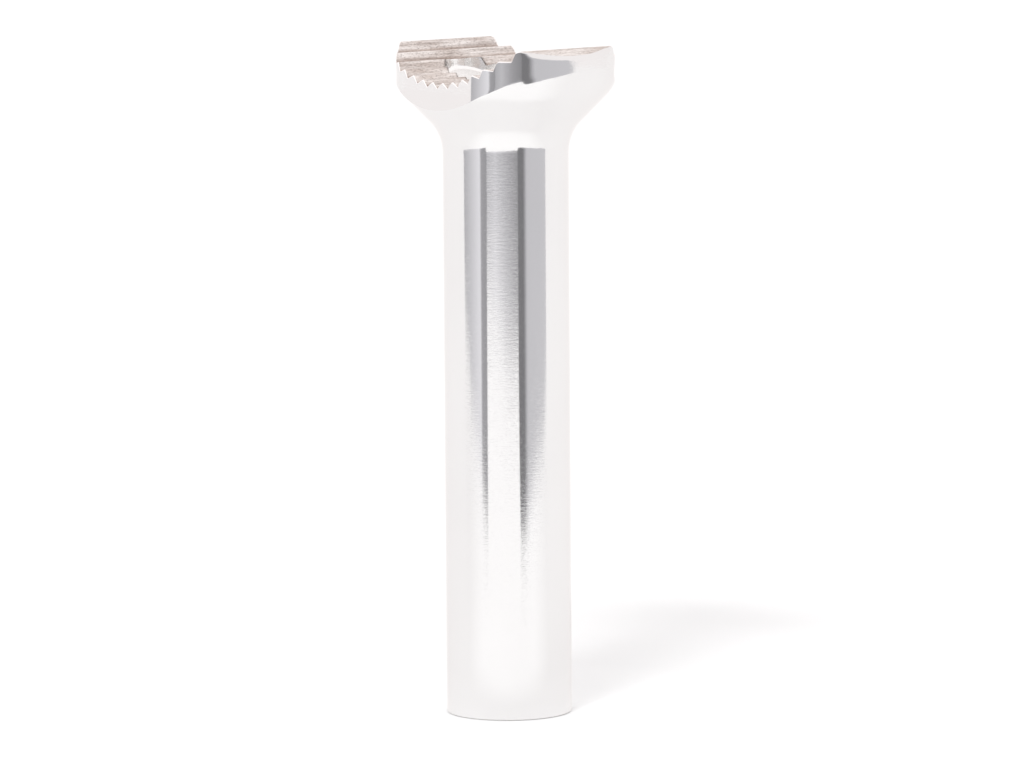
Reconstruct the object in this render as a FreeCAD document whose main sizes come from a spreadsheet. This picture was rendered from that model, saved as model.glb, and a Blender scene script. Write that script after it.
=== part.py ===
import FreeCAD, Part
import math
import os
import Sketcher
from FreeCAD import Vector

# Short straight bicycle seatpost, one forged and machined solid: a 25.4 mm round
# tube that flares into a head with two flat sides and round ends.  The head carries a
# concave serrated cradle (the teeth run across the post), a smooth recess along
# the cradle's middle, and a bolt slot from the recess down into the tube's bore.
#
# Frame, millimetres: origin at the centre of the tube's bottom end, +Z up along
# the tube, X along the cradle (fore and aft), Y across the post.

doc = FreeCAD.newDocument("seatpost_part")

# ---------------------------------------------------------------- dimensions
SIZES = [
    ("tube_radius", 12.7, "outer radius of the tube, a standard 25.4 mm post"),
    ("bore_radius", 9.5, "inner radius of the tube"),
    ("total_height", 135.35, "bottom end to the horns' upper edges"),
    ("end_chamfer", 0.3, "chamfer outside and inside the tube's bottom rim"),
    ("flare_start", 113.4, "height where the tube starts to flare"),
    ("flare_radius", 9.3, "concave radius under the head"),
    ("head_radius", 22.6, "radius of the head as turned, before its sides are shaped"),
    ("shoulder_radius", 9.2, "convex radius from the 45 degree cone to the side"),
    ("head_half_length", 22.55, "centre to either end of the shaped head, at shoulder height"),
    ("end_radius", 21.5, "radius of the shaped head's round ends, in plan"),
    ("flat_half_width", 17.43, "half the width over the flats at valley level"),
    ("valley_level", 127.2, "height of the middle tooth valley"),
    ("flat_draft", 2.5, "forging draft of the flat sides, degrees"),
    ("cove_radius", 9.0, "concave radius that carries the flats out to their lower edge"),
    ("cove_level", 117.9, "height of the lowest line of that concave radius"),
    ("corner_radius", 11.0, "corner from a flat side to a round end, in plan"),
    ("cradle_height", 158.19, "height of the cradle's own centre line"),
    ("valley_radius", 30.99, "cradle centre line to the tooth valleys"),
    ("ridge_radius", 29.8, "cradle centre line to the tooth tips"),
    ("tooth_pitch", 6.064, "angle from tooth to tooth, degrees"),
    ("tooth_spaces", 13, "number of tooth spaces"),
    ("tip_flat", 0.3, "width of the worn flat on each tooth tip"),
    ("horn_slope", 22.0, "outward slope of the horns' tops, degrees"),
    ("rim_round", 0.35, "polished round along the cradle's rim"),
    ("recess_half_width", 6.4, "half the width of the smooth recess"),
    ("recess_half_length", 15.4, "half the length of the smooth recess"),
    ("recess_floor_radius", 32.45, "cradle centre line to the recess floor"),
    ("recess_round", 0.6, "round where the recess floor meets its wall"),
    ("slot_half_width", 4.6, "half the width of the bolt slot"),
    ("slot_half_length", 9.2, "half the length of the bolt slot"),
    ("crown_radius", 39.0, "cradle centre line to the bore's curved ceiling"),
    ("bore_stop", 0.5, "from the end of the straight bore up to the ceiling's lowest line"),
]
sheet = doc.addObject("Spreadsheet::Sheet", "Sizes")
sheet.Label = "Sizes"
for column, title in zip("ABC", ("name", "value", "meaning")):
    sheet.set(column + "1", title)
for row, (alias, number, meaning) in enumerate(SIZES, start=2):
    sheet.set("A%d" % row, alias)
    sheet.set("B%d" % row, str(number))
    sheet.setAlias("B%d" % row, alias)
    sheet.set("C%d" % row, meaning)
doc.recompute()


class Dim:
    """A size: the sheet expression that drives it, and its present value."""

    def __init__(self, number, text=None):
        self.number = float(number)
        self.text = text or repr(float(number))

    def _with(self, other, sign, result):
        return Dim(result, "(%s %s %s)" % (self.text, sign, other.text))

    def __add__(self, other):
        other = dim(other)
        return self._with(other, "+", self.number + other.number)

    def __sub__(self, other):
        other = dim(other)
        return self._with(other, "-", self.number - other.number)

    def __mul__(self, other):
        other = dim(other)
        return self._with(other, "*", self.number * other.number)

    def __truediv__(self, other):
        other = dim(other)
        return self._with(other, "/", self.number / other.number)

    def __neg__(self):
        return Dim(0) - self

    __radd__ = __add__
    __rmul__ = __mul__


def dim(value):
    return value if isinstance(value, Dim) else Dim(value)


def cell(alias):
    return Dim(float(getattr(sheet, alias)), "Sizes." + alias)


def turned(function, angle):
    """sin, cos or tan of an angle in degrees."""
    return Dim(getattr(math, function)(math.radians(angle.number)), "%s(%s * 1 deg)" % (function, angle.text))


def root(value):
    return Dim(math.sqrt(value.number), "sqrt(%s)" % value.text)


# ------------------------------------------------------------ sketch helpers
def place(sketch, geo, end, name, point):
    """Fixes one end of a curve, on an axis or at two named bound distances."""
    for letter, kind, axis, coordinate in (("x", "DistanceX", -2, point[0]), ("y", "DistanceY", -1, point[1])):
        coordinate = dim(coordinate)
        if abs(coordinate.number) < 1e-9:
            sketch.addConstraint(Sketcher.Constraint("PointOnObject", geo, end, axis))
            continue
        index = sketch.addConstraint(Sketcher.Constraint(kind, geo, end, coordinate.number))
        sketch.renameConstraint(index, "%s_%s" % (name, letter))
        sketch.setExpression("Constraints.%s_%s" % (name, letter), coordinate.text)


def draw_loop(sketch, name, corners, arcs=None):
    """Draws a closed loop through the corners.  arcs gives, for the side that
    starts at a corner, its radius and which way it bulges as it is walked
    (+1 left, -1 right); every other side is a straight line."""
    arcs = arcs or {}
    flat = [Vector(dim(x).number, dim(y).number, 0) for x, y in corners]
    count = len(flat)
    sides = []
    for i, here in enumerate(flat):
        there = flat[(i + 1) % count]
        if i in arcs:
            radius, hand = arcs[i][0].number, arcs[i][1]
            chord = there - here
            left = Vector(-chord.y, chord.x, 0).normalize()
            depth = radius - math.sqrt(radius**2 - (chord.Length / 2) ** 2)
            top = (here + there) / 2 + left * (hand * depth)
            sides.append(sketch.addGeometry(Part.Arc(here, top, there), False))
        else:
            sides.append(sketch.addGeometry(Part.LineSegment(here, there), False))
    starts = [1 if sketch.getPoint(g, 1).distanceToPoint(p) < 1e-6 else 2 for g, p in zip(sides, flat)]
    for i in range(count):
        j = (i + 1) % count
        sketch.addConstraint(Sketcher.Constraint("Coincident", sides[i], 3 - starts[i], sides[j], starts[j]))
    for i in range(count):
        place(sketch, sides[i], starts[i], "%s%d" % (name, i), corners[i])
        if i in arcs:
            index = sketch.addConstraint(Sketcher.Constraint("Radius", sides[i], arcs[i][0].number))
            sketch.renameConstraint(index, "%s%d_radius" % (name, i))
            sketch.setExpression("Constraints.%s%d_radius" % (name, i), arcs[i][0].text)
    doc.recompute()


def body_sketch(body, name, role, lift=None):
    """A sketch on the body's own XY or XZ plane, moved up by lift."""
    sketch = body.newObject("Sketcher::SketchObject", name)
    plane = [f for f in body.Origin.OriginFeatures if f.Role == role][0]
    sketch.AttachmentSupport = (plane, [""])
    sketch.MapMode = "FlatFace"
    if lift is not None:
        axis = "y" if role == "XZ_Plane" else "z"
        sketch.setExpression("AttachmentOffset.Base." + axis, lift.text)
    doc.recompute()
    return sketch


def stadium(name, half_width, half_length, bottom, height):
    """A round-ended slot tool that stands from bottom upwards."""
    sketch = doc.addObject("Sketcher::SketchObject", name + "_outline")
    sketch.setExpression("Placement.Base.z", bottom.text)
    middle = half_length - half_width
    x, r = middle.number, half_width.number
    front = sketch.addGeometry(Part.Arc(Vector(x, -r, 0), Vector(x + r, 0, 0), Vector(x, r, 0)), False)
    upper = sketch.addGeometry(Part.LineSegment(Vector(x, r, 0), Vector(-x, r, 0)), False)
    back = sketch.addGeometry(Part.Arc(Vector(-x, r, 0), Vector(-x - r, 0, 0), Vector(-x, -r, 0)), False)
    lower = sketch.addGeometry(Part.LineSegment(Vector(-x, -r, 0), Vector(x, -r, 0)), False)
    for one, end, two, start_of in ((front, 2, upper, 1), (upper, 2, back, 1), (back, 2, lower, 1), (lower, 2, front, 1)):
        sketch.addConstraint(Sketcher.Constraint("Tangent", one, end, two, start_of))
    sketch.addConstraint(Sketcher.Constraint("Equal", front, back))
    for side, label, where in ((front, "front", middle), (back, "back", -middle)):
        sketch.addConstraint(Sketcher.Constraint("PointOnObject", side, 3, -1))
        index = sketch.addConstraint(Sketcher.Constraint("DistanceX", side, 3, where.number))
        sketch.renameConstraint(index, label + "_centre")
        sketch.setExpression("Constraints.%s_centre" % label, where.text)
    index = sketch.addConstraint(Sketcher.Constraint("Radius", front, r))
    sketch.renameConstraint(index, "half_width")
    sketch.setExpression("Constraints.half_width", half_width.text)
    doc.recompute()
    tool = doc.addObject("Part::Extrusion", name + "_prism")
    tool.Base = sketch
    tool.DirMode = "Custom"
    tool.Dir = Vector(0, 0, 1)
    tool.Solid = True
    tool.setExpression("LengthFwd", height.text)
    return tool


def cross_cylinder(name, radius):
    """A cylinder across the post, centred on the cradle's own centre line."""
    tool = doc.addObject("Part::Cylinder", name)
    tool.setExpression("Radius", radius.text)
    tool.Height = 80
    tool.Placement = FreeCAD.Placement(Vector(0, 40, 0), FreeCAD.Rotation(Vector(1, 0, 0), 90))
    tool.setExpression("Placement.Base.z", cell("cradle_height").text)
    return tool


def boolean(kind, name, base, tool):
    made = doc.addObject(kind, name)
    made.Base = base
    made.Tool = tool
    return made


# ----------------------------------------------------------- the turned form
tube, head = cell("tube_radius"), cell("head_radius")
flare, shoulder = cell("flare_radius"), cell("shoulder_radius")
chamfer, start, height = cell("end_chamfer"), cell("flare_start"), cell("total_height")
half = turned("sin", Dim(45))
shoulder_height = head - tube + start + (shoulder + flare) * turned("tan", Dim(22.5))
over = height + 1
rise = over - shoulder_height

turning = doc.addObject("PartDesign::Body", "Turning")
turning.Label = "turning"

profile = body_sketch(turning, "turned_profile", "XZ_Plane")
draw_loop(
    profile,
    "p",
    [
        (0, 0),
        (tube - chamfer, 0),
        (tube, chamfer),
        (tube, start),
        (tube + flare * (1 - half.number), start + flare * half),
        (head - shoulder * (1 - half.number), shoulder_height - shoulder * half),
        (head, shoulder_height),
        (head, over),
        (0, over),
    ],
    {3: (flare, 1), 5: (shoulder, -1)},
)
turned_form = turning.newObject("PartDesign::Revolution", "turned_form")
turned_form.Profile = profile
turned_form.ReferenceAxis = (profile, ["V_Axis"])
turned_form.Angle = 360
turning.Tip = turned_form
doc.recompute()

# --------------------------------------------------- the head's shaped sides
# Seen from above the head has two straight flats and two round ends, with a
# corner arc between them.  The outline is drafted, so the sides lean in as they
# rise, and a concave radius carries the flats out at their lower edge.
draft = turned("tan", cell("flat_draft"))
corner, end = cell("corner_radius"), cell("end_radius")
corner_y = cell("flat_half_width") - (shoulder_height - cell("valley_level")) * draft - corner
end_x = cell("head_half_length") - end
reach = end - corner
corner_x = end_x + root(reach * reach - corner_y * corner_y)
toward = ((corner_x - end_x) / reach, corner_y / reach)
corner_top, end_top = corner - rise * draft, end - rise * draft
touch = (corner_x + corner_top * toward[0], corner_y + corner_top * toward[1])
side = corner_y + corner_top
plan = doc.addObject("Sketcher::SketchObject", "head_outline")
plan.setExpression("Placement.Base.z", over.text)
draw_loop(
    plan,
    "p",
    [
        (-corner_x, side),
        (corner_x, side),
        touch,
        (touch[0], -touch[1]),
        (corner_x, -side),
        (-corner_x, -side),
        (-touch[0], -touch[1]),
        (-touch[0], touch[1]),
    ],
    {1: (corner_top, 1), 2: (end_top, 1), 3: (corner_top, 1), 5: (corner_top, 1), 6: (end_top, 1), 7: (corner_top, 1)},
)
head_block = doc.addObject("Part::Extrusion", "head_block")
head_block.Base = plan
head_block.DirMode = "Custom"
head_block.Dir = Vector(0, 0, -1)
head_block.Solid = True
head_block.setExpression("LengthFwd", (over - cell("cove_level")).text)
head_block.setExpression("TaperAngle", cell("flat_draft").text)
under = doc.addObject("Part::Cylinder", "room_below")
under.Radius = 45
under.setExpression("Height", (cell("cove_level") + 5).text)
under.Placement = FreeCAD.Placement(Vector(0, 0, -5), FreeCAD.Rotation())
side_form = boolean("Part::Fuse", "side_form", under, head_block)
doc.recompute()
cove = doc.addObject("Part::Fillet", "side_form_coved")
cove.Base = side_form
lower = []
for number, edge in enumerate(side_form.Shape.Edges, start=1):
    points = edge.discretize(5)
    on_floor = max(abs(p.z - float(sheet.cove_level)) for p in points) < 1e-4
    if on_floor and max(math.hypot(p.x, p.y) for p in points) < 30:
        lower.append((number, float(sheet.cove_radius), float(sheet.cove_radius)))
print("cove edges", lower)
cove.Edges = lower
doc.recompute()
blank = boolean("Part::Common", "blank", turning, cove)
doc.recompute()
print("blank", blank.Shape.isValid(), len(blank.Shape.Solids), blank.Shape.optimalBoundingBox(False))

body = doc.addObject("PartDesign::Body", "Forging")
body.Label = "forging"
body.BaseFeature = blank
doc.recompute()

# --------------------------------------------------- the cradle and its horns
ridge, valley, pitch = cell("ridge_radius"), cell("valley_radius"), cell("tooth_pitch")
centre = cell("cradle_height")
edge_x = root(ridge * ridge - (centre - height) * (centre - height))
wide = Dim(27)
horn_z = height - (wide - edge_x) * turned("tan", cell("horn_slope"))
cradle_outline = body_sketch(body, "cradle_outline", "XZ_Plane")
draw_loop(
    cradle_outline,
    "p",
    [(-wide, horn_z), (-edge_x, height), (edge_x, height), (wide, horn_z), (wide, over + 5), (-wide, over + 5)],
    {1: (ridge, -1)},
)
cradle = body.newObject("PartDesign::Pocket", "cradle")
cradle.Profile = cradle_outline
cradle.SideType = "Symmetric"
cradle.Length = 60
doc.recompute()

# The polished round along the rim: where the cradle's smooth arc meets the
# flat sides, their corners and the round ends.
rim = []
for number, edge in enumerate(cradle.Shape.Edges, start=1):
    points = edge.discretize(7)
    on_arc = all(abs(math.hypot(p.x, p.z - centre.number) - ridge.number) < 2e-3 for p in points)
    if on_arc and max(p.x for p in points) - min(p.x for p in points) > 1e-3:
        rim.append("Edge%d" % number)
print("rim edges", rim)
rim_round = body.newObject("PartDesign::Fillet", "rim_round")
rim_round.Base = (cradle, rim)
rim_round.setExpression("Radius", cell("rim_round").text)
body.Tip = rim_round
doc.recompute()
print("rim round", rim_round.State, body.Shape.isValid())

before = body.Shape.Volume
print("volume before the teeth %.1f mm3" % before)

# ------------------------------------------------------------------ the teeth
# One tooth space is a symmetric V; the pattern turns it about the cradle's own
# centre line.
space = body_sketch(body, "tooth_space_outline", "XZ_Plane", centre)
first = -(cell("tooth_spaces") - 1) * pitch / 2
opening = (pitch * Dim(math.pi / 180) * ridge - cell("tip_flat")) / 2
mouth = ridge - 1.5
spread = opening * (valley - mouth) / (valley - ridge)


def swung(radius, across):
    """A point at that distance from the centre line, moved across, on the
    radius that the first tooth space stands on."""
    sine, cosine = turned("sin", first), turned("cos", first)
    return (radius * sine + across * cosine, across * sine - radius * cosine)


draw_loop(space, "p", [swung(valley, Dim(0)), swung(mouth, spread), swung(mouth, -spread)])
tooth_space = body.newObject("PartDesign::Pocket", "tooth_space")
tooth_space.Profile = space
tooth_space.SideType = "Symmetric"
tooth_space.Length = 60
doc.recompute()
teeth = body.newObject("PartDesign::PolarPattern", "teeth")
teeth.Originals = [tooth_space]
teeth.Axis = (space, ["N_Axis"])
teeth.Mode = "Extent"
teeth.setExpression("Angle", ((cell("tooth_spaces") - 1) * pitch).text)
teeth.setExpression("Occurrences", cell("tooth_spaces").text)
body.Tip = teeth
doc.recompute()
print("volume with the teeth %.1f mm3, cut %.1f mm3" % (body.Shape.Volume, before - body.Shape.Volume))

# ------------------------------------- the bore, the recess and the bolt slot
bore = doc.addObject("Part::Cylinder", "bore_cylinder")
bore.setExpression("Radius", cell("bore_radius").text)
bore_end = cell("cradle_height") - cell("crown_radius") - cell("bore_stop")
bore.setExpression("Height", (bore_end + 1).text)
bore.Placement = FreeCAD.Placement(Vector(0, 0, -1), FreeCAD.Rotation())
bore_corner = doc.addObject("Part::Cone", "bore_corner")
bore_corner.setExpression("Radius1", cell("bore_radius").text)
bore_corner.setExpression("Radius2", (cell("bore_radius") - 2).text)
bore_corner.Height = 2
bore_corner.setExpression("Placement.Base.z", bore_end.text)
bore_whole = boolean("Part::Fuse", "bore_whole", bore, bore_corner)
bore_mouth = doc.addObject("Part::Cone", "bore_mouth")
bore_mouth.setExpression("Radius1", (cell("bore_radius") + 2 * chamfer).text)
bore_mouth.setExpression("Radius2", cell("bore_radius").text)
bore_mouth.setExpression("Height", (2 * chamfer).text)
bore_mouth.setExpression("Placement.Base.z", (-chamfer).text)
bore_space = boolean("Part::Cut", "bore_space", bore_whole, cross_cylinder("crown", cell("crown_radius")))

floor_level = cell("cradle_height") - cell("recess_floor_radius")
recess_prism = stadium("recess", cell("recess_half_width"), cell("recess_half_length"), floor_level - 1, Dim(30))
recess_space = boolean(
    "Part::Common", "recess_space", recess_prism, cross_cylinder("recess_floor", cell("recess_floor_radius"))
)
slot_space = stadium(
    "slot",
    cell("slot_half_width"),
    cell("slot_half_length"),
    cell("cradle_height") - cell("crown_radius") - 1,
    Dim(20),
)
doc.recompute()

# The recess floor meets its wall in a small round: every lower edge of the
# recess tool that lies on the floor's cylinder.
rounded = doc.addObject("Part::Fillet", "recess_rounded")
rounded.Base = recess_space
picked = []
for number, edge in enumerate(recess_space.Shape.Edges, start=1):
    points = edge.discretize(5)
    off = max(abs(math.hypot(p.x, p.z - size_now) - float(sheet.recess_floor_radius)) for p in points for size_now in [float(sheet.cradle_height)])
    if off < 1e-3 and max(p.z for p in points) < float(sheet.total_height):
        picked.append((number, float(sheet.recess_round), float(sheet.recess_round)))
rounded.Edges = picked

spaces = doc.addObject("Part::MultiFuse", "spaces")
spaces.Shapes = [bore_space, bore_mouth, rounded, slot_space]
seatpost = boolean("Part::Cut", "seatpost", body, spaces)
seatpost.Label = "seatpost"
seatpost.Placement = FreeCAD.Placement(Vector(0, 0, 0), FreeCAD.Rotation())
doc.recompute()

# ---------------------------------------------------------- check and export
for item in doc.Objects:
    if "Invalid" in item.State or "Error" in item.State:
        raise RuntimeError("%s failed: %s" % (item.Name, item.State))
os.makedirs("parts", exist_ok=True)
for part in (seatpost,):
    shape = part.Shape
    if shape.isNull() or not shape.isValid() or len(shape.Solids) != 1:
        raise RuntimeError("%s has no single valid solid" % part.Label)
    box = shape.optimalBoundingBox(False)
    print(
        "%s: volume %.1f mm3, box %.3f x %.3f x %.3f, z %.3f to %.3f"
        % (part.Label, shape.Volume, box.XLength, box.YLength, box.ZLength, box.ZMin, box.ZMax)
    )
    shape.exportStep("parts/%s.step" % part.Label)
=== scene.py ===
import math

import bpy
import numpy as np
from mathutils import Matrix, Vector


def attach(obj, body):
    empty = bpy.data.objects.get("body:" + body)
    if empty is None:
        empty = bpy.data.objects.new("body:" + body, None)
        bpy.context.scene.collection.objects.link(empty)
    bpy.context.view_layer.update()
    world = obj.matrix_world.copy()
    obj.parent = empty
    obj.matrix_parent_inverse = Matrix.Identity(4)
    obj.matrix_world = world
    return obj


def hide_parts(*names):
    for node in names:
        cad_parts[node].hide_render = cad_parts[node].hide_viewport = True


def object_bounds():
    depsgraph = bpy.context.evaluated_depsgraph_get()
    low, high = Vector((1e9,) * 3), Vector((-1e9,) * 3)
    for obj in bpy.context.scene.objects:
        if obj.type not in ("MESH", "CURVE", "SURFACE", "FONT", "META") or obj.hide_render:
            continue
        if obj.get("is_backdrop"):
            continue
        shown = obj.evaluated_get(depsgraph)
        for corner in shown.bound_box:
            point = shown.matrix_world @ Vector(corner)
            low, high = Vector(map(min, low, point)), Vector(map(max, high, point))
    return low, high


# A short polished bicycle seatpost standing on its open end.  Lengths below are
# in millimetres until a mesh is written; the frame is the CAD part's own: origin
# at the centre of the tube's bottom end, +Z up, X along the cradle, Y across.

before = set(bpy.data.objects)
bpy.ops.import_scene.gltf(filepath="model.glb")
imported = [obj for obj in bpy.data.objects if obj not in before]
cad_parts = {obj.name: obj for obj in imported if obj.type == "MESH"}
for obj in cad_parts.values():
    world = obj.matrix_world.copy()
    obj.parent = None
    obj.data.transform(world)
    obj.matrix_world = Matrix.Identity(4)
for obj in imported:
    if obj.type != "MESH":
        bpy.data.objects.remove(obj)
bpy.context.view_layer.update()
MM = 0.001

# ------------------------------------------------------------------ the camera
turn, rise, roll = (math.radians(a) for a in (38.789, 7.0767, -0.3778))
back = Vector((math.cos(turn) * math.cos(rise), -math.sin(turn) * math.cos(rise), math.sin(rise)))
toward = Vector((math.cos(turn), -math.sin(turn), 0))
right = Vector((math.sin(turn), math.cos(turn), 0))
up = back.cross(right)
eye = (right * 0.95 + Vector((0, 0, 66.603)) + back * 1318.72) * MM
cam_x = right * math.cos(roll) + up * math.sin(roll)
cam_y = up * math.cos(roll) - right * math.sin(roll)
cam_data = bpy.data.cameras.new("camera")
cam_data.sensor_width = 36
cam_data.lens = 229.88
cam_data.clip_start, cam_data.clip_end = 0.05, 40
camera = bpy.data.objects.new("camera", cam_data)
bpy.context.scene.collection.objects.link(camera)
camera.matrix_world = Matrix(
    (
        (cam_x.x, cam_y.x, back.x, eye.x),
        (cam_x.y, cam_y.y, back.y, eye.y),
        (cam_x.z, cam_y.z, back.z, eye.z),
        (0, 0, 0, 1),
    )
)
bpy.context.scene.camera = camera

# ------------------------------------------------------- the shape of the post
TUBE, BORE, HEAD = 12.7, 9.5, 22.6
FLARE_START, FLARE, SHOULDER = 113.4, 9.3, 9.2
CHAMFER, FOOT_ROUND, HEIGHT = 0.3, 0.12, 135.35
SIN45 = math.sin(math.pi / 4)
SHOULDER_Z = HEAD - TUBE + FLARE_START + (SHOULDER + FLARE) * math.tan(math.pi / 8)
CONE_LOW = (TUBE + FLARE * (1 - SIN45), FLARE_START + FLARE * SIN45)
CONE_HIGH = (HEAD - SHOULDER * (1 - SIN45), SHOULDER_Z - SHOULDER * SIN45)
FLAT_HALF, VALLEY_Z, DRAFT = 17.43, 127.2, math.tan(math.radians(2.5))
COVE, COVE_Z = 9.0, 126.9
COVE_Y = FLAT_HALF - (COVE_Z - VALLEY_Z) * DRAFT + COVE * math.hypot(1, DRAFT)
COVE_TOP = COVE_Z - COVE * DRAFT / math.hypot(1, DRAFT)
CORNER, END, END_X = 11.0, 21.5, 1.05
CORNER_Y = FLAT_HALF - (SHOULDER_Z - VALLEY_Z) * DRAFT - CORNER
CORNER_X = END_X + math.sqrt((END - CORNER) ** 2 - CORNER_Y**2)
CORNER_ANGLE = math.atan2(CORNER_Y, CORNER_X - END_X)
CENTRE_Z, VALLEY_R, RIDGE_R = 158.19, 30.99, 29.8
PITCH, SPACES, TIP_FLAT = math.radians(6.064), 13, 0.3
HORN = math.tan(math.radians(22))
RECESS_W, RECESS_L, RECESS_R, RECESS_ROUND = 6.4, 15.4, 32.45, 0.6
SLOT_W, SLOT_L = 4.6, 9.2
CROWN_R, BORE_STOP = 39.0, 0.5
BORE_TOP = CENTRE_Z - CROWN_R - BORE_STOP


def turned(z):
    """Radius of the turned form at height z."""
    if z <= FLARE_START:
        return TUBE
    if z <= CONE_LOW[1]:
        return TUBE + FLARE - math.sqrt(FLARE**2 - (z - FLARE_START) ** 2)
    if z <= CONE_HIGH[1]:
        return CONE_LOW[0] + z - CONE_LOW[1]
    if z <= SHOULDER_Z:
        return HEAD - SHOULDER + math.sqrt(SHOULDER**2 - (z - SHOULDER_Z) ** 2)
    return HEAD


def flat_half(z):
    """Half the width over the flat sides, which run out in a cove low down."""
    if z >= COVE_TOP:
        return FLAT_HALF - (z - VALLEY_Z) * DRAFT
    return COVE_Y - math.sqrt(max(COVE**2 - (z - COVE_Z) ** 2, 0.0))


def flat_reach(phi, z):
    """Distance from the axis to the head's side, seen at angle phi: a flat, a
    corner arc, then the round end."""
    c, s = abs(math.cos(phi)), abs(math.sin(phi))
    w = flat_half(z)
    if w * c <= CORNER_X * s:
        return w / s
    grown = w - CORNER_Y - CORNER
    along = c * END_X
    far = along + math.sqrt((END + grown) ** 2 - END_X**2 + along**2)
    if math.atan2(far * s, far * c - END_X) <= CORNER_ANGLE:
        return far
    along = c * CORNER_X + s * CORNER_Y
    return along + math.sqrt(max(along**2 - CORNER_X**2 - CORNER_Y**2 + (CORNER + grown) ** 2, 0.0))


def smooth(t):
    t = min(max(t, 0.0), 1.0)
    return t * t * (3 - 2 * t)


def swell(t):
    return max(0.0, 1 - t * t) ** 2


def polished_turned(off, z):
    """The turned form as the polishing left it, off degrees from the cradle's
    line: its crisp edge is a little higher at the ends, lower at the corners."""
    lift = 1.2 * smooth((33 - off) / 33) - 0.65 * swell((off - 43) / 13)
    return turned(z - lift * smooth((z - 124.5) / 4.5))


def reach(phi, z, full=True):
    """Radius of the outer skin.  The two forms meet in a crisp polished edge
    that softens a little towards the ends.  The corners stand a little fuller
    up to the horns' tips, and the ends are rounded in under the horns' tops."""
    off = math.degrees(math.acos(min(abs(math.cos(phi)), 1.0)))
    a, b = polished_turned(off, z), flat_reach(phi, z)
    if full:
        b += 0.28 * smooth((z - 129) / 3.5) * swell((off - 47) / 22)
        b += 0.34 * smooth((z - 131) / 2.5) * swell((off - 33) / 10)
    over = z - (HEIGHT - (22.3 * math.cos(math.radians(off)) - 19.15) * HORN - 1.25)
    if over > 0:
        b -= over**2 / 5.4 * smooth((31 - off) / 9)
    k = 0.05 + 0.15 * smooth((z - 127.5) / 3.0)
    h = min(max(0.5 + 0.5 * (b - a) / k, 0.0), 1.0)
    return b + (a - b) * h - k * h * (1 - h)


def skin_normal(phi, z):
    e = 0.004
    r = reach(phi, z, False)
    d_phi = (reach(phi + e, z, False) - reach(phi - e, z, False)) / (2 * e)
    d_z = (reach(phi, z + 0.02, False) - reach(phi, z - 0.02, False)) / 0.04
    if z < 117.5:  # polishing has softened the flare's start
        d_z *= smooth((z - 114.1) / 2.2)
    d_z = min(d_z, 0.84)
    n = Vector((math.cos(phi), math.sin(phi), 0)) - Vector((-math.sin(phi), math.cos(phi), 0)) * (d_phi / r)
    share = smooth((turned(z) - flat_reach(phi, z)) / 0.4 + 0.5)
    if share > 0:  # the corners are polished a little tighter than the outline
        facing = math.degrees(math.atan2(n.y, n.x))
        swing = np.interp(facing, (0, 4.4, 27.6, 31.6, 57.3, 83.3, 90), (0, -3.85, -5.3, -3.8, 2.5, -3.2, 0))
        n = Matrix.Rotation(math.radians(float(swing) * share), 3, "Z") @ n
    n.z = -d_z
    return n.normalized()


# The cradle's section: V-shaped tooth spaces about the cradle's own centre line,
# a narrow land at each end, then the horns' tops that fall away outwards.
def polar(radius, angle):
    return np.array([radius * math.sin(angle), CENTRE_Z - radius * math.cos(angle)])


half_open = (PITCH * RIDGE_R - TIP_FLAT) / 2 / RIDGE_R
corners = [polar(VALLEY_R, 0.0)]
for k in range(SPACES // 2 + 1):
    corners.append(polar(RIDGE_R, k * PITCH + half_open))
    if k < SPACES // 2:
        corners.append(polar(RIDGE_R, (k + 1) * PITCH - half_open))
        corners.append(polar(VALLEY_R, (k + 1) * PITCH))
edge_x = math.sqrt(RIDGE_R**2 - (CENTRE_Z - HEIGHT) ** 2)
corners.append(np.array([edge_x, HEIGHT]))
corners.append(np.array([edge_x + 3.2, HEIGHT - 3.2 * HORN]))


def unit(v):
    return v / np.linalg.norm(v)


def left_of(v):
    return unit(np.array([-v[1], v[0]]))


# Each corner of the section becomes a small round of three points, and each
# straight run keeps its own normal at both ends.
lines = []  # (x, z, normal x, normal z, height in the tooth)


def add_line(p, n):
    lines.append([p[0], p[1], n[0], n[1]])


mirror = [np.array([-corners[1][0], corners[1][1]])] + corners
for i in range(1, len(mirror) - 1):
    before, here, after = mirror[i - 1], mirror[i], mirror[i + 1]
    n0, n1 = left_of(here - before), left_of(after - here)
    cut = min(0.14 if i % 3 == 1 else 0.11, 0.42 * np.linalg.norm(after - here), 0.42 * np.linalg.norm(here - before))
    if i >= len(mirror) - 2:
        cut = 0.1
    p0, p1 = here + unit(before - here) * cut, here + unit(after - here) * cut
    middle = (p0 + p1) / 4 + here / 2
    if i == 1:
        add_line(np.array([0.0, middle[1]]), np.array([0.0, 1.0]))
        add_line(p1, n1)
        continue
    add_line(p0, n0)
    add_line(middle, unit(n0 + n1))
    add_line(p1, n1)


def section(x):
    """Height and normal of the cradle's section at x, between known points."""
    for a, b in zip(lines[:-1], lines[1:]):
        if a[0] <= x <= b[0]:
            t = (x - a[0]) / (b[0] - a[0])
            n = unit(np.array([a[2] + (b[2] - a[2]) * t, a[3] + (b[3] - a[3]) * t]))
            return [x, a[1] + (b[1] - a[1]) * t, n[0], n[1]]
    return None


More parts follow.
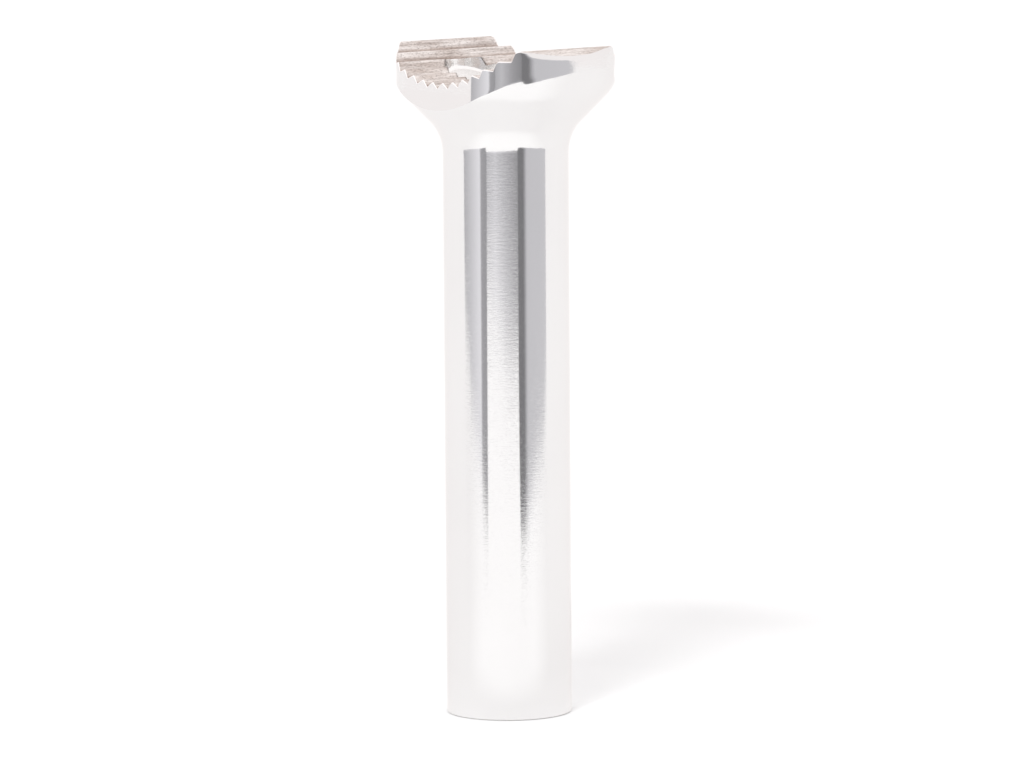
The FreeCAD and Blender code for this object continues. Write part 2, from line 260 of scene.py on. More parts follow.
# more points where runs are long, and where the recess's round end needs them
wanted = []
for a, b in zip(lines[:-1], lines[1:]):
    gap = math.hypot(b[0] - a[0], b[1] - a[1])
    for j in range(1, int(gap / 0.45) + 1):
        wanted.append(a[0] + (b[0] - a[0]) * j / (int(gap / 0.45) + 1))
recess_mid = RECESS_L - RECESS_W
wanted += [recess_mid + RECESS_W * math.cos(math.radians(a)) for a in range(0, 91, 5)]
known = [row[0] for row in lines]
for x in sorted(wanted):
    if min(abs(x - k) for k in known) > 0.012 or abs(x - RECESS_L) < 1e-9:
        lines.append(section(x))
        known.append(x)
lines.sort(key=lambda row: row[0])
LINES = len(lines)
EDGE_X = lines[-1][0]
for row in lines:
    radius = math.hypot(row[0], CENTRE_Z - row[1])
    row.append(min(max((VALLEY_R - radius) / (VALLEY_R - RIDGE_R), 0.0), 1.0))


def rim_round(height):
    return 0.13 + 0.10 * height


# --------------------------------------------------- one quarter of the mesh
verts, normals, tags = [], [], []  # tags: (finish 0..1, painted valley shade 0..1)
faces, kinds = [], []  # kinds: material index of each face
POLISHED, MACHINED, RECESS, BORE_METAL_AND_FOOT_SHADE, EDGE_HIGHLIGHT = 0, 1, 2, 3, 4


def vertex(x, y, z, n=None, finish=0.0, valley_shade=0.0):
    verts.append((x, y, z))
    normals.append(tuple(n) if n is not None else (0.0, 0.0, 0.0))
    tags.append((finish, valley_shade))
    return len(verts) - 1


def face(kind, *corner):
    loop = []
    for v in corner:
        if v not in loop:
            loop.append(v)
    if len(loop) > 2:
        faces.append(loop)
        kinds.append(kind)


def solve(function, low, high):
    """The root of a function that is positive at low and negative at high."""
    for _ in range(44):
        middle = (low + high) / 2
        if function(middle) > 0:
            low = middle
        else:
            high = middle
    return (low + high) / 2


def inset(x, y, z):
    """How far a point lies inside the outline at height z, seen from above."""
    phi, r = math.atan2(y, x), math.hypot(x, y)
    here = reach(phi, z)
    slope = (reach(phi + 0.003, z) - reach(phi - 0.003, z)) / 0.006 / here
    return (here - r) / math.hypot(1, slope)


ROUND_STEPS = 5
BETAS = [math.pi / 2 * j / ROUND_STEPS for j in range(ROUND_STEPS + 1)]
ACROSS = 15


def stadium(x, half_w, half_l):
    if x >= half_l:
        return 0.0
    middle = half_l - half_w
    return half_w if x <= middle else math.sqrt(max(half_w**2 - (x - middle) ** 2, 0.0))


top = []  # top[i][j]: row of vertices from the middle to the rim on line i
for x, z, nx, nz, height in lines:
    rho = rim_round(height)
    level = z - rho
    limit = solve(lambda y: inset(x, y, level), 2.0, 30.0)
    start = stadium(x, RECESS_W, RECESS_L)
    row_y = []
    for beta in BETAS:
        d = rho * (1 - math.sin(beta))
        row_y.append(limit if beta == BETAS[-1] else solve(lambda y: inset(x, y, level) - d, 0.5, limit))
    wall = skin_normal(math.atan2(limit, x), level)
    section_n = Vector((nx, 0, nz))
    row = []
    # each point carries how much painted valley shade the machined metal gets: full in the valleys, none on the
    # ridges, fading out over the rim
    for j in range(ACROSS):
        t = j / ACROSS
        y = start + (row_y[0] - start) * t
        row.append(vertex(x, y, z, section_n, 1.0, 1 - height))
    for beta, y in zip(BETAS, row_y):
        n = (section_n * math.cos(beta) + wall * math.sin(beta)).normalized()
        row.append(vertex(x, y, z - rho * (1 - math.cos(beta)), n, max(1 - beta / 0.55, 0.0), (1 - height) * (1 - math.sin(beta))))
    top.append(row)
RIM = len(top[0]) - 1
# the rims' rounds take the edge metal, painted lighter than the skin as a painted highlight along the teeth
for i in range(LINES - 1):
    for j in range(RIM):
        kind = MACHINED if j < ACROSS else EDGE_HIGHLIGHT
        face(kind, top[i][j], top[i + 1][j], top[i + 1][j + 1], top[i][j + 1])

# the horn's top: a sloping plane from the last line out to the round rim
edge_row = top[-1]
x_e, z_e = lines[-1][0], lines[-1][1]
rho_e = rim_round(lines[-1][4])
plane_n = Vector((HORN, 0, 1)).normalized()


def horn_z(x):
    return z_e - (x - x_e) * HORN


def horn_point(share, d):
    """The point d inside the rim, at a share of the way from the tip (0) to
    where the rim leaves the last line (1)."""
    level = z_e - rho_e
    end_y = solve(lambda y: inset(x_e, y, level) - d, 0.5, 30.0)
    phi = math.atan2(end_y, x_e) * share
    r = 21.8
    for _ in range(14):
        level = horn_z(r * math.cos(phi)) - rho_e
        gap = inset(r * math.cos(phi), r * math.sin(phi), level) - d
        r += gap
    return r * math.cos(phi), r * math.sin(phi), phi, level


HORN_ROWS = 7
horn_rim = []  # columns from the tip to the last line, each from inside to the rim
y_last = verts[edge_row[ACROSS]][1]
for j in range(ACROSS + 1):
    if j == ACROSS:
        horn_rim.append(edge_row[ACROSS:])
        continue
    share = verts[edge_row[j]][1] / y_last
    column = []
    for beta in BETAS:
        d = rho_e * (1 - math.sin(beta))
        x, y, phi, level = horn_point(share, d)
        wall = skin_normal(phi, level)
        n = (plane_n * math.cos(beta) + wall * math.sin(beta)).normalized()
        column.append(
            vertex(x, y if j else 0.0, horn_z(x) - rho_e * (1 - math.cos(beta)), n, max(1 - beta / 0.9, 0.0), 0.25)
        )
    horn_rim.append(column)
for j in range(ACROSS):
    for b in range(ROUND_STEPS):
        kind = MACHINED if b < 2 else POLISHED
        face(kind, horn_rim[j][b], horn_rim[j][b + 1], horn_rim[j + 1][b + 1], horn_rim[j + 1][b])
horn_flat = []
for j in range(ACROSS + 1):
    if j == ACROSS:
        horn_flat.append([edge_row[ACROSS]] * (HORN_ROWS + 1))
        continue
    inner, outer = Vector(verts[edge_row[j]]), Vector(verts[horn_rim[j][0]])
    column = [edge_row[j]]
    for k in range(1, HORN_ROWS):
        p = inner.lerp(outer, k / HORN_ROWS)
        column.append(vertex(p.x, p.y if j else 0.0, horn_z(p.x), plane_n, 1.0, 0.25))
    column.append(horn_rim[j][0])
    horn_flat.append(column)
for j in range(ACROSS):
    for k in range(HORN_ROWS):
        face(MACHINED, horn_flat[j][k], horn_flat[j][k + 1], horn_flat[j + 1][k + 1], horn_flat[j + 1][k])

# the outer wall hangs from the rim: one column under each rim vertex
rim = [column[-1] for column in horn_rim] + [row[-1] for row in reversed(top[:-1])]
FADE_Z = 130.4
edge_turn = []
for v in rim:
    x, y, z = verts[v]
    phi = math.pi / 2 if x < 1e-9 else math.atan2(y, x)
    off = math.degrees(phi)
    gap = lambda q: flat_reach(phi, q) - polished_turned(off, q)
    crossing = solve(gap, 119.0, FADE_Z) if gap(FADE_Z) < 0 else FADE_Z
    edge_turn.append((phi, min(crossing, z - 0.6)))
# ease the line of the crisp edge where it runs out
levels_for = []
for v, (phi, crossing) in zip(rim, edge_turn):
    z_rim = verts[v][2]
    column = []
    for t in np.linspace(0, 1, 15)[1:]:
        column.append(z_rim + (crossing + 0.22 - z_rim) * (t**1.15))
    column += [crossing + q for q in (0.13, 0.07, 0.025, -0.02, -0.07, -0.13, -0.22)]
    lower = crossing - 0.22
    for t in np.linspace(0, 1, 13)[1:]:
        column.append(lower + (CONE_LOW[1] - lower) * t)
    column += [FLARE_START + FLARE * math.sin(math.radians(a)) for a in np.linspace(45, 18, 9)[1:]]
    column += [115.9, 115.6, 115.3, 115.05, 114.8, 114.6, 114.4, 114.2, 114.0, FLARE_START]
    column += list(np.linspace(FLARE_START, FOOT_ROUND, 16)[1:])
    levels_for.append(column)
wall_rows = [rim]
for k in range(len(levels_for[0])):
    row = []
    for v, (phi, crossing), column in zip(rim, edge_turn, levels_for):
        z = column[k]
        r = reach(phi, z) if z > FLARE_START else TUBE
        n = skin_normal(phi, z) if z > FLARE_START + 0.05 else Vector((math.cos(phi), math.sin(phi), 0))
        x, y = r * math.cos(phi), r * math.sin(phi)
        if phi == 0:
            y = 0.0
        if phi == math.pi / 2:
            x = 0.0
        row.append(vertex(x, y, z, n))
    wall_rows.append(row)
for upper, lower in zip(wall_rows[:-1], wall_rows[1:]):
    for k in range(len(rim) - 1):
        face(POLISHED, upper[k], lower[k], lower[k + 1], upper[k + 1])
# the small chamfer at the foot, in the darker bore metal: partly painted shade, a thin dark line where the post meets
# the sheet
last = wall_rows[-1]
foot_out = []
for v in last:
    x, y, z = verts[v]
    s = (TUBE - FOOT_ROUND) / TUBE
    foot_out.append(vertex(x * s, y * s, 0.0))
for k in range(len(rim) - 1):
    face(BORE_METAL_AND_FOOT_SHADE, last[k], foot_out[k], foot_out[k + 1], last[k + 1])

# the recess: polished upright wall, a small round, a concave polished floor
inner = [i for i in range(LINES) if lines[i][0] <= RECESS_L + 1e-9]
ring_top = [top[i][0] for i in inner]
COUNT = len(ring_top)


def floor_z(x):
    return CENTRE_Z - math.sqrt(RECESS_R**2 - x**2)


def ring(half_w, half_l):
    """Points round a quarter of a round-ended slot, one for each recess point."""
    made = []
    middle, big_middle = half_l - half_w, RECESS_L - RECESS_W
    for i in inner:
        x = lines[i][0]
        if x <= big_middle:
            made.append((x / big_middle * middle, half_w, math.pi / 2))
        else:
            a = math.acos(min((x - big_middle) / RECESS_W, 1.0))
            made.append((middle + half_w * math.cos(a), half_w * math.sin(a) if a > 1e-7 else 0.0, a))
    return made


rings = [ring_top]
for t in (0.25, 0.5, 0.75, 1.0):
    row = []
    for v, (x, y, a) in zip(ring_top, ring(RECESS_W, RECESS_L)):
        high, low = verts[v][2], floor_z(x) + RECESS_ROUND
        row.append(vertex(x, y, high + (low - high) * t, (-math.cos(a), -math.sin(a), 0), 0.0, 0.0))
    rings.append(row)
for beta in np.linspace(0, math.pi / 2, 6)[1:]:
    off = RECESS_ROUND * (1 - math.cos(beta))
    row = []
    for x, y, a in ring(RECESS_W - off, RECESS_L - off):
        z = floor_z(x) + RECESS_ROUND * (1 - math.sin(beta))
        floor_n = Vector((-x, 0, CENTRE_Z - floor_z(x))).normalized()
        n = (Vector((-math.cos(a), -math.sin(a), 0)) * math.cos(beta) + floor_n * math.sin(beta)).normalized()
        row.append(vertex(x, y, z, n))
    rings.append(row)
outer_ring, slot_ring = ring(RECESS_W - RECESS_ROUND, RECESS_L - RECESS_ROUND), ring(SLOT_W, SLOT_L)
for t in (0.33, 0.66, 0.96, 1.0):
    row = []
    for (x0, y0, a), (x1, y1, _) in zip(outer_ring, slot_ring):
        x, y = x0 + (x1 - x0) * t, y0 + (y1 - y0) * t
        n = Vector((-x, 0, CENTRE_Z - floor_z(x))).normalized()
        row.append(vertex(x, y, floor_z(x) - (0.12 if t == 1.0 else 0.0), n))
    rings.append(row)
for upper, lower in zip(rings[:-1], rings[1:]):
    for k in range(COUNT - 1):
        face(RECESS, upper[k], upper[k + 1], lower[k + 1], lower[k])


# the bolt slot, the curved ceiling under it, and the bore
def ceiling_z(x, y):
    return min(CENTRE_Z - math.sqrt(CROWN_R**2 - x**2), BORE_TOP + BORE - math.hypot(x, y))


inside = [rings[-1]]
for t in (0.02, 0.35, 0.7, 1.0):
    row = []
    for v, (x, y, a) in zip(rings[-1], slot_ring):
        high, low = verts[v][2], ceiling_z(x, y)
        row.append(vertex(x, y, high + (low - high) * t))
    inside.append(row)
for t in (0.5, 1.0):
    row = []
    for x, y, a in slot_ring:
        phi = math.atan2(y, x) if x > 1e-9 else math.pi / 2
        near = math.hypot(x, y)
        meet = solve(lambda q: CENTRE_Z - math.sqrt(CROWN_R**2 - (q * math.cos(phi)) ** 2) < BORE_TOP + BORE - q, 2.0, BORE)
        r = near + (max(meet, near) - near) * t
        px, py = (r * math.cos(phi) if x > 1e-9 else 0.0), (r * math.sin(phi) if y > 0 else 0.0)
        row.append(vertex(px, py, ceiling_z(px, py)))
    inside.append(row)
for z, r in ((BORE_TOP, BORE), (90.0, BORE), (60.0, BORE), (30.0, BORE), (CHAMFER, BORE), (0.0, BORE + CHAMFER)):
    row = []
    for x, y, a in slot_ring:
        phi = math.atan2(y, x) if x > 1e-9 else math.pi / 2
        row.append(vertex(r * math.cos(phi) if x > 1e-9 else 0.0, r * math.sin(phi) if y > 0 else 0.0, z))
    inside.append(row)
for upper, lower in zip(inside[:-1], inside[1:]):
    for k in range(COUNT - 1):
        face(BORE_METAL_AND_FOOT_SHADE, upper[k], upper[k + 1], lower[k + 1], lower[k])

# the foot's ring: walk round both edges together, always taking the nearer step
foot_in = list(reversed(inside[-1]))
i = j = 0
while i < len(foot_out) - 1 or j < len(foot_in) - 1:
    angle = lambda v: math.atan2(verts[v][1], verts[v][0])
    step_out = i < len(foot_out) - 1 and (
        j == len(foot_in) - 1 or angle(foot_out[i + 1]) <= angle(foot_in[j + 1])
    )
    if step_out:
        face(BORE_METAL_AND_FOOT_SHADE, foot_out[i], foot_in[j], foot_out[i + 1])
        i += 1
    else:
        face(BORE_METAL_AND_FOOT_SHADE, foot_out[i], foot_in[j], foot_in[j + 1])
        j += 1

# ------------------------------------- mirror the quarter and weld the whole
V, N, T = np.array(verts), np.array(normals), np.array(tags)
all_v, all_n, all_t, all_f, all_k = [], [], [], [], []
for sx, sy in ((1, 1), (-1, 1), (-1, -1), (1, -1)):
    base = len(all_v) * len(V)
    all_v.append(V * (sx, sy, 1))
    all_n.append(N * (sx, sy, 1))
    all_t.append(T)
    for f, k in zip(faces, kinds):
        loop = [base + v for v in f]
        all_f.append(loop if sx * sy > 0 else loop[::-1])
        all_k.append(k)
V, N, T = np.vstack(all_v), np.vstack(all_n), np.vstack(all_t)
key = np.round(V * 2e4).astype(np.int64)
_, first, back_to = np.unique(key, axis=0, return_index=True, return_inverse=True)
back_to = back_to.reshape(-1)
summed = np.zeros((len(first), 3))
np.add.at(summed, back_to, N)
V, T = V[first], T[first]
clean_f, clean_k = [], []
for f, k in zip(all_f, all_k):
    loop = []
    for v in (int(back_to[q]) for q in f):
        if v not in loop:
            loop.append(v)
    if len(loop) > 2:
        clean_f.append(loop)
        clean_k.append(k)

mesh = bpy.data.meshes.new("seatpost_skin")
mesh.from_pydata((V * MM).tolist(), [], clean_f)
mesh.update()
post = bpy.data.objects.new("seatpost_skin", mesh)
bpy.context.scene.collection.objects.link(post)
for p, k in zip(mesh.polygons, clean_k):
    p.material_index = k
    p.use_smooth = True
finish = mesh.attributes.new("finish", "FLOAT", "POINT")
finish.data.foreach_set("value", T[:, 0].astype(np.float32))
# the share of painted shade along the tooth valleys, read by the machined metal
valley_shade = mesh.attributes.new("valley_shade", "FLOAT", "POINT")
valley_shade.data.foreach_set("value", T[:, 1].astype(np.float32))

# normals: known ones on the skin and in the recess, averaged ones elsewhere
length = np.linalg.norm(summed, axis=1)
known_n = summed / np.maximum(length, 1e-9)[:, None]
has = length > 0.5
face_n = np.array([p.normal for p in mesh.polygons])
face_a = np.array([p.area for p in mesh.polygons])
custom = []
around = {}
for p in mesh.polygons:
    for v in p.vertices:
        around.setdefault(v, []).append(p.index)
for p in mesh.polygons:
    kind = clean_k[p.index]
    for v in p.vertices:
        n = None
        if kind != BORE_METAL_AND_FOOT_SHADE and has[v]:
            n = known_n[v]
            if kind == RECESS and float(np.dot(n, face_n[p.index])) < 0.6:
                n = None
            elif kind != RECESS and float(np.dot(n, face_n[p.index])) < 0.2:
                n = None
        if n is None:
            total = np.zeros(3)
            for q in around[v]:
                if clean_k[q] == kind and float(np.dot(face_n[q], face_n[p.index])) > 0.82:
                    total += face_n[q] * face_a[q]
            n = total / max(np.linalg.norm(total), 1e-12)
        custom.append(tuple(n))
mesh.normals_split_custom_set(custom)


# ------------------------------------------------------------------ materials
def new_material(name):
    made = bpy.data.materials.new(name)
    made.use_nodes = True
    nodes, links = made.node_tree.nodes, made.node_tree.links
    shader = nodes.get("Principled BSDF")
    return made, nodes, links, shader


def noise(nodes, links, source, scale, detail=3.0, rough=0.55):
    """Noise on coordinates stretched by scale (x, y, z), in features per metre."""
    mapping = nodes.new("ShaderNodeMapping")
    mapping.inputs["Scale"].default_value = scale
    links.new(source, mapping.inputs["Vector"])
    texture = nodes.new("ShaderNodeTexNoise")
    texture.inputs["Scale"].default_value = 1.0
    texture.inputs["Detail"].default_value = detail
    texture.inputs["Roughness"].default_value = rough
    links.new(mapping.outputs["Vector"], texture.inputs["Vector"])
    return texture.outputs["Fac"]


def ramp(nodes, links, source, low, high):
    """Colour between two stops, (position, colour) each."""
    made = nodes.new("ShaderNodeValToRGB")
    for element, (position, colour) in zip(made.color_ramp.elements, (low, high)):
        element.position = position
        element.color = (*colour, 1.0)
    links.new(source, made.inputs["Fac"])
    return made.outputs["Color"]


def spread(nodes, links, source, low, high):
    made = nodes.new("ShaderNodeMapRange")
    made.inputs["To Min"].default_value = low
    made.inputs["To Max"].default_value = high
    links.new(source, made.inputs["Value"])
    return made.outputs["Result"]


def bump(nodes, links, source, distance, strength=1.0, onto=None):
    made = nodes.new("ShaderNodeBump")
    made.inputs["Strength"].default_value = strength
    made.inputs["Distance"].default_value = distance
    links.new(source, made.inputs["Height"])
    if onto is not None:
        links.new(onto, made.inputs["Normal"])
    return made.outputs["Normal"]


def polished(name, colour_low, colour_high, roughness, streak, anisotropy):
    """Bare metal polished round the post: very fine marks that run round it."""
    made, nodes, links, shader = new_material(name)
    where = nodes.new("ShaderNodeTexCoord").outputs["Object"]
    fine = noise(nodes, links, where, (1700, 1700, 5200), 2.0)
    broad = noise(nodes, links, where, (420, 420, 2600), 3.0, 0.6)
    cloud = noise(nodes, links, where, (45, 45, 30), 2.0)
    worn = spread(nodes, links, noise(nodes, links, where, (160, 160, 220), 2.0), -0.4, 2.2)
    links.new(ramp(nodes, links, cloud, (0.3, colour_low), (0.7, colour_high)), shader.inputs["Base Color"])
    grain = noise(nodes, links, where, (1500, 1500, 4200), 4.0, 0.72)
    grain = spread(nodes, links, grain, roughness * 0.4, roughness * 2.6)
    grain.node.inputs["From Min"].default_value = 0.36
    grain.node.inputs["From Max"].default_value = 0.74
    links.new(grain, shader.inputs["Roughness"])
    first = bump(nodes, links, fine, streak)
    second = bump(nodes, links, broad, streak * 2.2, 1.0, first)
    links.new(worn, second.node.inputs["Strength"])
    links.new(second, shader.inputs["Normal"])
    tangent = nodes.new("ShaderNodeTangent")
    tangent.direction_type = "RADIAL"
    tangent.axis = "Z"
    links.new(tangent.outputs["Tangent"], shader.inputs["Tangent"])
    shader.inputs["Metallic"].default_value = 1.0
    shader.inputs["Anisotropic"].default_value = anisotropy
    shader.inputs["Anisotropic Rotation"].default_value = 0.25
    shader.inputs["Specular Tint"].default_value = (0.92, 0.905, 0.90, 1.0)
    return made


def machined(name):
    """Milled metal left bare: marks along Y, a warm tarnish, and painted shade that darkens it along the tooth
    valleys.
    """
    made, nodes, links, shader = new_material(name)
    where = nodes.new("ShaderNodeTexCoord").outputs["Object"]
    lines_y = noise(nodes, links, where, (3200, 80, 3200), 4.0, 0.65)
    patches = noise(nodes, links, where, (620, 90, 620), 5.0, 0.65)
    grain = noise(nodes, links, where, (5200, 1500, 5200), 3.0, 0.7)
    valley_shade_node = nodes.new("ShaderNodeAttribute")
    valley_shade_node.attribute_name = "valley_shade"
    base = ramp(nodes, links, patches, (0.34, (0.64, 0.57, 0.53)), (0.62, (0.90, 0.865, 0.84)))
    tone = ramp(nodes, links, lines_y, (0.34, (0.56, 0.52, 0.50)), (0.54, (1.0, 1.0, 1.0)))
    speck = ramp(nodes, links, grain, (0.36, (0.36, 0.33, 0.315)), (0.50, (1.0, 1.0, 1.0)))
    # painted shade: darker along the valleys of the teeth
    painted_valley_shade = ramp(nodes, links, valley_shade_node.outputs["Fac"], (0.62, (1.0, 1.0, 1.0)), (1.0, (0.60, 0.52, 0.48)))
    mixed = base
    for layer, amount in ((tone, 0.75), (speck, 0.6), (painted_valley_shade, 1.0)):
        mix = nodes.new("ShaderNodeMix")
        mix.data_type, mix.blend_type = "RGBA", "MULTIPLY"
        mix.inputs[0].default_value = amount
        links.new(mixed, mix.inputs[6])
        links.new(layer, mix.inputs[7])
        mixed = mix.outputs[2]
    links.new(mixed, shader.inputs["Base Color"])
    links.new(spread(nodes, links, patches, 0.5, 0.3), shader.inputs["Roughness"])
    first = bump(nodes, links, lines_y, 0.00009)
    links.new(bump(nodes, links, grain, 0.00003, 1.0, first), shader.inputs["Normal"])
    shader.inputs["Metallic"].default_value = 1.0
    return made


skin = polished("polished_outside", (0.745, 0.742, 0.742), (0.768, 0.766, 0.766), 0.07, 0.000003, 0.6)
teeth = machined("machined_cradle")
well = polished("polished_recess", (0.86, 0.86, 0.855), (0.95, 0.95, 0.945), 0.16, 0.000001, 0.3)
# the bore's dull drawn metal, also on the foot's chamfer, where it is partly painted shade: a thin dark line at the
# foot
bore = polished("drawn_bore_and_foot_shade", (0.62, 0.61, 0.60), (0.74, 0.73, 0.72), 0.34, 0.000006, 0.5)
# the teeth's rounded rims: burnished metal, painted lighter than the skin as a painted highlight along them
edge = polished("edge_with_painted_highlight", (0.94, 0.935, 0.93), (0.97, 0.968, 0.965), 0.12, 0.000001, 0.2)
for m in (skin, teeth, well, bore, edge):
    mesh.materials.append(m)

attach(post, "root")
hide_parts("seatpost")

# the CAD piece that the skin stands for carries the same metal
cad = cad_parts["seatpost"]
cad.data.materials.clear()
cad.data.materials.append(skin)


# ------------------------------------------------------------------ the studio
def only_in_reflections(obj):
    obj.visible_camera = False
    obj.visible_diffuse = False
    obj.visible_shadow = False
    obj.visible_transmission = False
    obj.visible_volume_scatter = False


def stage_mesh(name, points, loops, material):
    data = bpy.data.meshes.new(name)
    data.from_pydata(points, [], loops)
    data.update()
    data.materials.append(material)
    obj = bpy.data.objects.new(name, data)
    bpy.context.scene.collection.objects.link(obj)
    obj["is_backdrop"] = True
    return obj


def sheet(name, side_colour, front_lit_colour, front_glow, contact, bounce_share):
    """Matt white sheet, painted a little lighter well in front of the post as a painted pool of light, with a painted
    glow there as front_glow sets.  Round the post's foot it also carries painted light, a glow for the light that the
    tube throws back on it."""
    made, nodes, links, shader = new_material(name)
    where = nodes.new("ShaderNodeTexCoord").outputs["Object"]
    side = nodes.new("ShaderNodeVectorMath")
    side.operation = "NORMALIZE"
    links.new(where, side.inputs[0])
    ahead = nodes.new("ShaderNodeVectorMath")
    ahead.operation = "DOT_PRODUCT"
    ahead.inputs[1].default_value = toward
    links.new(side.outputs["Vector"], ahead.inputs[0])
    away = nodes.new("ShaderNodeVectorMath")
    away.operation = "LENGTH"
    links.new(where, away.inputs[0])
    far = nodes.new("ShaderNodeMapRange")
    far.inputs["From Min"].default_value, far.inputs["From Max"].default_value = 0.014, 0.075
    links.new(away.outputs["Value"], far.inputs["Value"])
    front = nodes.new("ShaderNodeMath")
    front.operation = "MULTIPLY"
    links.new(ahead.outputs["Value"], front.inputs[0])
    links.new(far.outputs["Result"], front.inputs[1])
    shade = ramp(nodes, links, front.outputs["Value"], (0.28, side_colour), (0.72, front_lit_colour))
    paper = ramp(nodes, links, noise(nodes, links, where, (3, 3, 3)), (0.3, (0.985, 0.985, 0.985)), (0.7, (1.0, 1.0, 1.0)))
    grained = nodes.new("ShaderNodeMix")
    grained.data_type, grained.blend_type = "RGBA", "MULTIPLY"
    grained.inputs[0].default_value = 1.0
    links.new(shade, grained.inputs[6])
    links.new(paper, grained.inputs[7])
    links.new(grained.outputs[2], shader.inputs["Base Color"])
    near = nodes.new("ShaderNodeMapRange")
    near.inputs["From Max"].default_value = 0.06
    links.new(away.outputs["Value"], near.inputs["Value"])
    bounce = nodes.new("ShaderNodeValToRGB")
    stops = bounce.color_ramp.elements
    stops[0].position, stops[1].position = 0.213, 1.0
    for position in (0.23, 0.295, 0.38, 0.545, 0.88):
        stops.new(position)
    for stop, value in zip(stops, (contact, 0.26, 0.19, 0.13, 0.07, 0.03, 0.0)):
        value *= bounce_share
        stop.color = (value, value, value, 1.0)
    links.new(near.outputs["Result"], bounce.inputs["Fac"])
    glow = ramp(nodes, links, front.outputs["Value"], (0.28, (0.0, 0.0, 0.0)), (0.72, (front_glow, front_glow, front_glow)))
    both = nodes.new("ShaderNodeMix")
    both.data_type, both.blend_type = "RGBA", "ADD"
    both.inputs[0].default_value = 1.0
    links.new(bounce.outputs["Color"], both.inputs[6])
    links.new(glow, both.inputs[7])
    links.new(both.outputs[2], shader.inputs["Emission Color"])
    shader.inputs["Emission Strength"].default_value = 1.0
    shader.inputs["Roughness"].default_value = 0.6
    shader.inputs["Specular IOR Level"].default_value = 0.2
    return made


# the sheet the camera sees: painted a little lighter in front of the post, and glowing round its foot with painted
# light
floor_mat = sheet("white_sheet", (0.822, 0.839, 0.846), (0.84, 0.857, 0.864), 0.0, 0.24, 0.42)
# the sheet the metal mirrors: painted lighter than the one the camera sees, with painted glow in front of the post
# and round its foot
table_mat = sheet("white_table", (0.915, 0.93, 0.932), (0.965, 0.985, 0.988), 0.065, 0.10, 0.65)


def on_table(across, ahead, z=0.0):
    """A point of the table in metres, from millimetres to the right of the post
    and towards the camera."""
    p = (right * across + toward * ahead) * MM
    return (p.x, p.y, z)


# What the metal mirrors of the sheet is this bright part of it, painted lighter than the sheet the camera sees and
# glowing a little in front of the post: a painted reflection.  In front of the post it ends a hand's width or two
# away, except for a tongue under the camera, so the upper tube mirrors what lies beyond its edge.
outline = [
    (-3500, -3500), (-3500, 460), (-1400, 190), (-800, 105), (-675, 147), (-623, 183), (-558, 195), (-483, 188),
    (-461, 208), (-353, 251), (-297, 251), (-265, 244), (-235, 246), (-194, 238), (-180, 244), (-500, 690), (-182, 702), (-90, 690),
    (-20, 640), (226, 605), (107, 258), (122, 244), (153, 243), (207, 247), (268, 243), (326, 229), (403, 174), (442, 161),
    (581, 150), (800, 195), (1400, 340), (3500, 870), (3500, -3500),
]
table = stage_mesh("table", [on_table(*p, -0.00003) for p in outline], [list(range(len(outline)))], table_mat)
only_in_reflections(table)
# and the sheet itself, which the metal doesn't mirror
rest = stage_mesh("floor", [on_table(a, b, -0.00006) for a, b in ((-6000, -6000), (6000, -6000), (6000, 6000), (-6000, 6000))], [[0, 1, 2, 3]], floor_mat)
rest.visible_glossy = False

# what stands beyond the table, all round the camera: grey cards, seen only in
# the metal.  Angles are in degrees to the right of the camera.
cards_mat, nodes, links, shader = new_material("grey_cards")
nodes.remove(shader)
shade = nodes.new("ShaderNodeAttribute")
shade.attribute_name = "shade"
glow = nodes.new("ShaderNodeEmission")
links.new(shade.outputs["Color"], glow.inputs["Color"])
links.new(glow.outputs["Emission"], nodes["Material Output"].inputs["Surface"])
strips = [  # from, to, brightness at each, and how much of it is left low down
    (-82.5, -49.0, 0.56, 0.98, 1.0),
    (-49.0, -46.0, 0.98, 0.46, 1.0),
    (-46.0, -35.0, 0.46, 0.41, 1.0),
    (-35.0, -18.0, 0.56, 0.68, 1.5),
    (-18.0, 21.5, 0.66, 0.34, 1.45),
    (21.5, 31.0, 0.25, 0.25, 1.0),
    (31.0, 38.5, 0.25, 0.74, 1.0),
    (38.5, 76.5, 0.71, 0.73, 1.0),
]
points, loops, shades = [], [], []
DISTANCE = 1.9
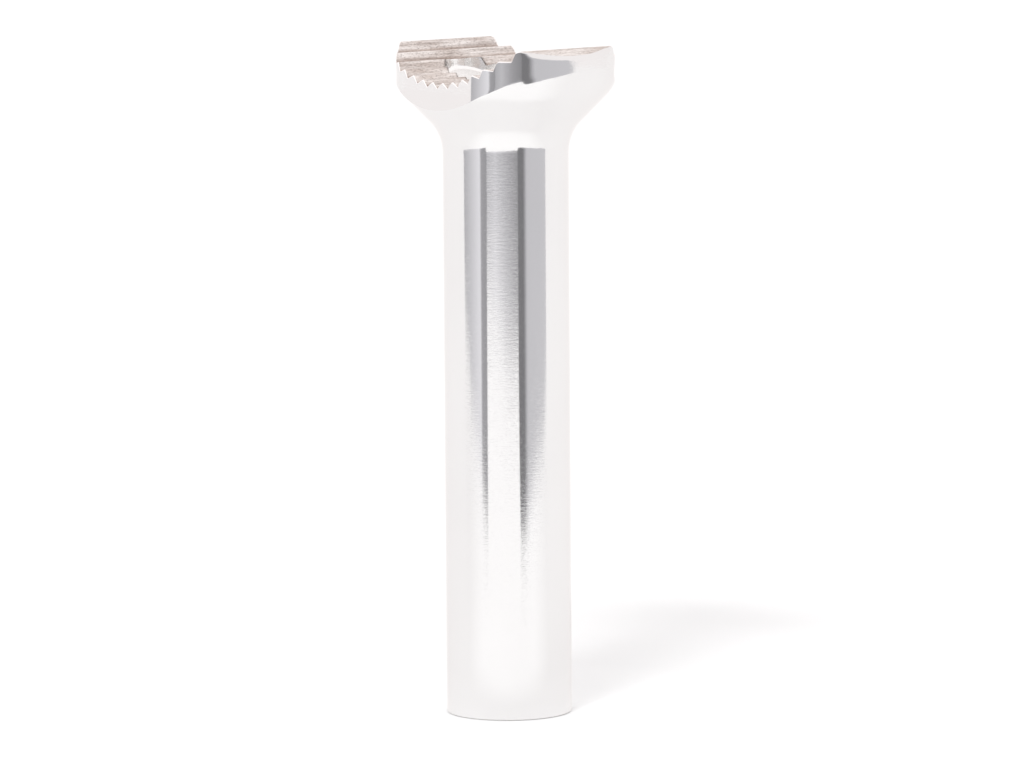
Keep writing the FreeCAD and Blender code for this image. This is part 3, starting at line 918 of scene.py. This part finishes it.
for a0, a1, shade0, shade1, lower in strips:
    parts = max(1, int((a1 - a0) / 6))
    for s in range(parts):
        for (e0, f0), (e1, f1) in (((-40, lower), (-5.9, lower)), ((-5.9, lower), (-4.9, 1.0)), ((-4.9, 1.0), (14, 1.0))):
            quad = []
            for share, lift, factor in ((s, e0, f0), (s + 1, e0, f0), (s + 1, e1, f1), (s, e1, f1)):
                a = math.radians(a0 + (a1 - a0) * share / parts)
                direction = toward * math.cos(a) + right * math.sin(a)
                quad.append(len(points))
                points.append(
                    (direction.x * DISTANCE, direction.y * DISTANCE, 0.1 + DISTANCE * math.tan(math.radians(lift)))
                )
                shades.append((shade0 + (shade1 - shade0) * share / parts) * factor)
            loops.append(quad)
cards = stage_mesh("cards", points, loops, cards_mat)
tone = cards.data.attributes.new("shade", "FLOAT_COLOR", "POINT")
tone.data.foreach_set("color", np.array([(s, s * 0.985, s * 1.025, 1.0) for s in shades], np.float32).reshape(-1))
only_in_reflections(cards)

# a broad key light in front, to the left and above, in three parts side by side,
# for the faint wide shadow behind to the right; the white room does the rest
def sun(name, strength, softness, direction):
    data = bpy.data.lights.new(name, "SUN")
    data.energy, data.angle = strength, math.radians(softness)
    obj = bpy.data.objects.new(name, data)
    bpy.context.scene.collection.objects.link(obj)
    obj.location = direction * 1.5
    obj.rotation_mode = "QUATERNION"
    obj.rotation_quaternion = direction.to_track_quat("Z", "Y")
    obj.visible_glossy = False
    return obj


key_rise = math.radians(46)
for name, angle, strength in (("key_left", -24.0, 0.28), ("key_middle", -19.5, 0.26), ("key_right", -14.0, 0.18)):
    key_turn = math.radians(angle)
    key_flat = toward * math.cos(key_turn) + right * math.sin(key_turn)
    sun(name, strength, 7, key_flat * math.cos(key_rise) + Vector((0, 0, math.sin(key_rise))))

world = bpy.data.worlds.new("white_room")
bpy.context.scene.world = world
world.use_nodes = True
background = world.node_tree.nodes["Background"]
background.inputs["Color"].default_value = (1.0, 0.961, 0.955, 1.0)
background.inputs["Strength"].default_value = 1.16

view = bpy.context.scene.view_settings
view.view_transform = "Standard"
view.look = "None"
view.exposure = 0.0
view.gamma = 1.0

low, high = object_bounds()
